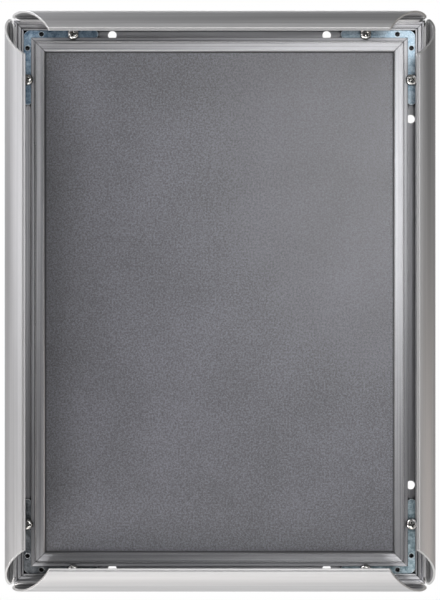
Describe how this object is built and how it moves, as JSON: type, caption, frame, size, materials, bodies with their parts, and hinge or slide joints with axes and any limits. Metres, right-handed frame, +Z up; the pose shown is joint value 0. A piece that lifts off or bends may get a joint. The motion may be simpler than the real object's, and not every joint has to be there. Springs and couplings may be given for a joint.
{
  "type": "snap frame",
  "caption": "A4 aluminium poster snap frame for a wall, its sprung cover rails hinged open around a grey back panel and clear sheet.",
  "frame": {"origin": "centre of the wall-screw hole pattern, on the frame's back plane, which lies on the wall", "axes": "+Z up along the frame's longer side as it hangs, +X to the right seen from the front, +Y into the wall"},
  "size_m": [0.2452, 0.0241, 0.3308],
  "materials": {
    "base_rail_aluminium": "satin anodised",
    "cover_rail_aluminium": "satin anodised",
    "zinc_plated_steel": "blue zinc plated",
    "bright_zinc_steel": "bright zinc plated",
    "spring_steel": "blued spring steel",
    "panel_plastic": "matt extruded sheet",
    "clear_plastic": "clear, matt on the outside against glare"
  },
  "bodies": {
    "frame": {"base_rail_left": "base_rail_aluminium", "base_rail_right": "base_rail_aluminium", "base_rail_top": "base_rail_aluminium", "base_rail_bottom": "base_rail_aluminium", "corner_bracket_bottom_left": "zinc_plated_steel", "corner_bracket_bottom_right": "zinc_plated_steel", "corner_bracket_top_right": "zinc_plated_steel", "corner_bracket_top_left": "zinc_plated_steel", "bracket_screws_bottom_left": "bright_zinc_steel", "bracket_screws_bottom_right": "bright_zinc_steel", "bracket_screws_top_right": "bright_zinc_steel", "bracket_screws_top_left": "bright_zinc_steel", "toggle_spring_left_upper": "spring_steel", "toggle_spring_left_lower": "spring_steel", "toggle_spring_right_upper": "spring_steel", "toggle_spring_right_lower": "spring_steel", "toggle_spring_top_left": "spring_steel", "toggle_spring_top_right": "spring_steel", "toggle_spring_bottom_left": "spring_steel", "toggle_spring_bottom_right": "spring_steel", "back_panel": "panel_plastic", "clear_sheet": "clear_plastic"},
    "cover_left": {"cover_rail_left": "cover_rail_aluminium"},
    "cover_right": {"cover_rail_right": "cover_rail_aluminium"},
    "cover_top": {"cover_rail_top": "cover_rail_aluminium"},
    "cover_bottom": {"cover_rail_bottom": "cover_rail_aluminium"}
  },
  "joints": [
    {"name": "cover_left_hinge", "type": "hinge", "parent": "frame", "child": "cover_left", "pos_m": [-0.1167, -0.0036, 0], "axis": [0, 0, -1], "range_deg": [-61, 19], "deforming": ["toggle_spring_left_upper", "toggle_spring_left_lower"]},
    {"name": "cover_right_hinge", "type": "hinge", "parent": "frame", "child": "cover_right", "pos_m": [0.1167, -0.0036, 0], "axis": [0, 0, 1], "range_deg": [-66, 14], "deforming": ["toggle_spring_right_upper", "toggle_spring_right_lower"]},
    {"name": "cover_top_hinge", "type": "hinge", "parent": "frame", "child": "cover_top", "pos_m": [0, -0.0036, 0.1602], "axis": [-1, 0, 0], "range_deg": [-61.2, 18.8], "deforming": ["toggle_spring_top_left", "toggle_spring_top_right"]},
    {"name": "cover_bottom_hinge", "type": "hinge", "parent": "frame", "child": "cover_bottom", "pos_m": [0, -0.0036, -0.1602], "axis": [1, 0, 0], "range_deg": [-53, 27], "deforming": ["toggle_spring_bottom_left", "toggle_spring_bottom_right"]}
  ]
}
